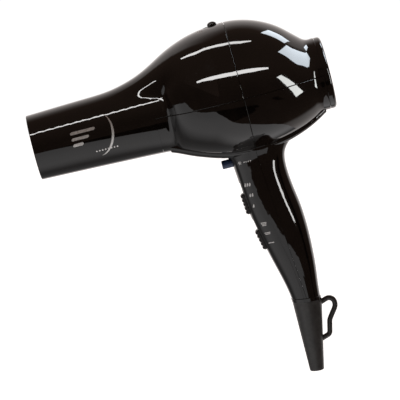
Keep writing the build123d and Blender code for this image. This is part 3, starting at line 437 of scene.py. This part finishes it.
def stage_mesh(name, verts, faces, mat, camera=False, diffuse=False, shadow=False):
    mesh = bpy.data.meshes.new(name)
    mesh.from_pydata([tuple(v) for v in verts], [], faces)
    mesh.update()
    obj = bpy.data.objects.new(name, mesh)
    scene.collection.objects.link(obj)
    mesh.materials.append(mat)
    obj.visible_camera = camera
    obj.visible_diffuse = diffuse
    obj.visible_shadow = shadow
    return obj


def receivers(obj, names):
    """Light linking: only the named CAD nodes are lit by this lamp."""
    group = bpy.data.collections.new(obj.name + "_on")
    for n in names:
        group.objects.link(nodes[n])
    obj.light_linking.receiver_collection = group


# pale floor, seen by the camera; it glows a little so that it stays an even white
floor_mat = bpy.data.materials.new("pale_floor")
floor_mat.use_nodes = True
ft = floor_mat.node_tree
fb = next(n for n in ft.nodes if n.type == "BSDF_PRINCIPLED")
fco = ft.nodes.new("ShaderNodeTexCoord").outputs["Object"]
fmix = ft.nodes.new("ShaderNodeMix")
fmix.data_type = "RGBA"
fmix.inputs[6].default_value = (0.86, 0.86, 0.86, 1)
fmix.inputs[7].default_value = (0.90, 0.90, 0.90, 1)
link(ft, noise(ft, fco, 30.0), fmix.inputs[0])
link(ft, fmix.outputs[2], fb.inputs["Base Color"])
fb.inputs["Roughness"].default_value = 0.9
fb.inputs["Emission Color"].default_value = (1, 1, 1, 1)
fb.inputs["Emission Strength"].default_value = 0.95
FLOOR_Z = -0.46
floor = stage_mesh("floor", [(-6, -6, FLOOR_Z), (6, -6, FLOOR_Z), (6, 6, FLOOR_Z), (-6, 6, FLOOR_Z)],
                   [(0, 1, 2, 3)], floor_mat, camera=True, diffuse=True, shadow=False)
floor.visible_glossy = False

# white table top that the glossy shells mirror, fading towards the rear
card_mat = bpy.data.materials.new("white_card")
card_mat.use_nodes = True
ct = card_mat.node_tree
ct.nodes.clear()
cgeo = ct.nodes.new("ShaderNodeAttribute")
cgeo.attribute_name = "glow"
cem = ct.nodes.new("ShaderNodeEmission")
cem.inputs["Color"].default_value = (1.0, 0.985, 0.99, 1)
link(ct, cgeo.outputs["Fac"], cem.inputs["Strength"])
cout = ct.nodes.new("ShaderNodeOutputMaterial")
link(ct, cem.outputs[0], cout.inputs[0])

def ease(v, lo, hi):
    t = min(max((v - lo) / (hi - lo), 0.0), 1.0)
    return t * t * (3 - 2 * t)


edge = [(-2.20, 1.10), (-1.60, 0.98), (-0.90, 0.72), (-0.50, 0.60), (-0.28, 0.60), (-0.18, 0.66), (-0.12, 0.64),
        (-0.06, 0.53), (0.0, 0.435), (0.03, 0.375), (0.05, 0.31), (0.07, 0.25), (0.10, 0.195), (0.135, 0.155),
        (0.20, 0.085), (0.25, 0.02), (0.285, -0.06), (0.30, -0.14), (0.312, -0.44)]
card_v, card_f, glow = [], [], []
steps = 56
for i in range(len(edge) - 1):
    (r0, n0), (r1, n1) = edge[i], edge[i + 1]
    for j in range(4 if i < len(edge) - 2 else 5):
        f = j / 4
        r, near = r0 + (r1 - r0) * f, n0 + (n1 - n0) * f
        for k in range(steps + 1):
            back = near + (-0.46 - near) * k / steps
            card_v.append(in_picture(r, -0.25, back))
            reach = back + 0.30 * ease(r, -0.02, 0.20)
            glow.append(0.20 + 0.80 * ease(reach, -0.10, 0.12) - 0.14 * ease(back, 0.2, 0.5))
columns = len(card_v) // (steps + 1)
for i in range(columns - 1):
    for k in range(steps):
        a = i * (steps + 1) + k
        card_f.append((a, a + 1, a + steps + 2, a + steps + 1))
card = stage_mesh("white_card", card_v, card_f, card_mat)
layer = card.data.attributes.new("glow", "FLOAT", "POINT")
layer.data.foreach_set("value", glow)


# the table top further out, which only the handle's low parts mirror
outer = [(-0.12, 0.645), (-0.06, 0.535), (0.003, 0.44), (0.033, 0.38), (0.053, 0.315), (0.075, 0.255), (0.11, 0.30),
         (0.17, 0.36), (0.225, 0.42), (0.235, 0.50), (0.30, 0.53), (0.31, 0.66), (0.10, 0.72), (-0.08, 0.72)]
table = stage_mesh("white_table", [in_picture(r, -0.25, b) for r, b in outer], [tuple(range(len(outer)))],
                   emitter_material("white_table", (1.0, 0.985, 0.99), 0.87))
receivers(table, ["handle_front_shell", "handle_rear_shell", "end_collar", "strain_relief", "heat_slider",
                  "speed_slider", "cool_shot_button"])


def strip(name, points, width_dir, width, strength, colour=(1.0, 0.985, 0.97), only=None, ends=0):
    """Slim ribbon lamp through points (mm, row frame), as wide as width (mm) along width_dir."""
    w = Vector(width_dir).normalized() * (width / 2000)
    verts, faces = [], []
    for i, p in enumerate(points):
        q = Vector(p) / 1000
        s = 1.0
        if ends and (i == 0 or i == len(points) - 1):
            s = 0.45
        verts += [q - w * s, q + w * s]
    for i in range(len(points) - 1):
        faces.append((2 * i, 2 * i + 1, 2 * i + 3, 2 * i + 2))
    obj = stage_mesh(name, verts, faces, emitter_material(name, colour, strength))
    if only:
        receivers(obj, only)
    return obj


# long lamp over the barrel
strip("lamp_barrel", [(-150, -201, 250), (-31, -204, 250), (14, -207, 247), (58, -212, 246), (105, -204, 254)],
      (0, 0.80, 0.60), 20, 19.0, only=["front_upper_shell", "nose_ring"])
# two lamps that draw the dome's upper and middle highlights
strip("lamp_dome_top", [(100, -24.4, 89.8), (120, -30, 98), (141.4, -33, 103.4), (167.4, -39.8, 104), (191.6, -43, 101), (210, -38.6, 96.8)],
      (0, 1, 0.05), 7.0, 15.0, only=["front_upper_shell", "rear_upper_shell", "ionizer_knob"], ends=1)
strip("lamp_dome_side", [(115.6, -70, 43.6), (140, -79, 45.0), (168, -82.6, 42.6), (196, -80, 40.0), (218.6, -72.8, 36.4)],
      (0, 0.54, 0.84), 6.5, 18.0, only=["front_upper_shell", "rear_upper_shell"], ends=1)
# window panes to the rear
for k, (quad, power) in enumerate((
    (((755, 1810), (1280, 1475), (754, 800), (367, 897)), 11.0),
    (((-280, 926), (317, 831), (300, 330), (-180, 270)), 14.0),
    (((-1050, 310), (-870, 317), (-310, -400), (-530, -600)), 17.0),
)):
    verts = [(1.2, y / 1000, z / 1000) for y, z in quad]
    tint = (0.84, 0.92, 1.0) if k < 2 else (0.98, 1.0, 0.98)
    pane = stage_mesh("window_%d" % k, verts, [(0, 1, 2, 3)], emitter_material("window_%d" % k, tint, power))
    receivers(pane, ["front_upper_shell", "rear_upper_shell", "rear_lower_shell", "filter_cover"])
# lamp to the right that draws the line down the back of the handle
strip("lamp_handle", [(381, -224, -134), (361, -251, -112), (349, -263, -96), (362, -256, -88)],
      (0.8, 0.6, 0), 44, 15.0, only=["handle_rear_shell", "end_collar"])
# black flag that keeps the barrel's lamp off the dome
flag_mat = bpy.data.materials.new("black_flag")
flag_mat.use_nodes = True
flag_bsdf = next(n for n in flag_mat.node_tree.nodes if n.type == "BSDF_PRINCIPLED")
flag_bsdf.inputs["Base Color"].default_value = (0.002, 0.002, 0.002, 1)
flag_bsdf.inputs["Emission Color"].default_value = (1.45 / 1.45, 0.95 / 1.45, 0.72 / 1.45, 1)
flag_bsdf.inputs["Emission Strength"].default_value = 0.11 * 1.45
flag = stage_mesh("black_flag", [(0.1125, -0.27, 0.035), (0.1125, -0.046, 0.035), (0.1125, -0.046, 0.30), (0.1125, -0.27, 0.30)],
                  [(0, 1, 2, 3)], flag_mat)

# world: plain white to the camera; for everything else a white backdrop behind, brightest
# near the horizon, and a dim warm room around it
world = bpy.data.worlds.new("studio")
scene.world = world
world.use_nodes = True
wt = world.node_tree
wt.nodes.clear()
wco = wt.nodes.new("ShaderNodeTexCoord").outputs["Generated"]


def along(axis):
    n = wt.nodes.new("ShaderNodeVectorMath")
    n.operation = "DOT_PRODUCT"
    link(wt, wco, n.inputs[0])
    n.inputs[1].default_value = axis
    return n.outputs["Value"]


def graph(tree, value, lo, hi, points):
    """Piecewise curve: value between lo and hi mapped through (x, y) points, y from 0 to 1.6."""
    ramp = tree.nodes.new("ShaderNodeValToRGB")
    link(tree, map_range(tree, value, lo, hi, 0.0, 1.0), ramp.inputs["Fac"])
    els = ramp.color_ramp.elements
    while len(els) < len(points):
        els.new(0.5)
    for el, (x, y) in zip(els, points):
        el.position = (x - lo) / (hi - lo)
        el.color = (y / 1.6, y / 1.6, y / 1.6, 1)
    return math_node(tree, "MULTIPLY", ramp.outputs["Color"], 1.6)


w_right, w_up, w_back = along(RIGHT), along(UP), along(BACK)
level = math_node(wt, "SQRT", math_node(wt, "MAXIMUM", math_node(
    wt, "SUBTRACT", 1.0, math_node(wt, "MULTIPLY", w_up, w_up)), 0.0004))
facing = math_node(wt, "DIVIDE", math_node(wt, "MULTIPLY", w_back, -1.0), level)
behind = map_range(wt, facing, 0.34, 0.54, 0.0, 1.0, smooth=True)
height = graph(wt, w_up, -1.0, 1.0, [(-0.95, 0.25), (-0.4, 0.8), (0.0, 1.35), (0.17, 1.3), (0.34, 1.1),
                                     (0.50, 0.86), (0.64, 0.76), (0.77, 0.62), (0.86, 0.26), (0.93, 0.0)])
backdrop = math_node(wt, "MULTIPLY", behind, height)
room = map_range(wt, w_up, -0.1, 0.7, 0.062, 0.12, smooth=True)
lit = wt.nodes.new("ShaderNodeBackground")
lit.inputs["Color"].default_value = (1.0, 0.965, 0.955, 1)
link(wt, backdrop, lit.inputs["Strength"])
dim = wt.nodes.new("ShaderNodeBackground")
dim.inputs["Color"].default_value = (1.45, 0.95, 0.72, 1)
link(wt, room, dim.inputs["Strength"])
both = wt.nodes.new("ShaderNodeAddShader")
link(wt, lit.outputs[0], both.inputs[0])
link(wt, dim.outputs[0], both.inputs[1])
seen_bg = wt.nodes.new("ShaderNodeBackground")
seen_bg.inputs["Color"].default_value = (1, 1, 1, 1)
seen_bg.inputs["Strength"].default_value = 1.05
lp = wt.nodes.new("ShaderNodeLightPath")
pick = wt.nodes.new("ShaderNodeMixShader")
link(wt, lp.outputs["Is Camera Ray"], pick.inputs[0])
link(wt, both.outputs[0], pick.inputs[1])
link(wt, seen_bg.outputs[0], pick.inputs[2])
wout = wt.nodes.new("ShaderNodeOutputWorld")
link(wt, pick.outputs[0], wout.inputs[0])
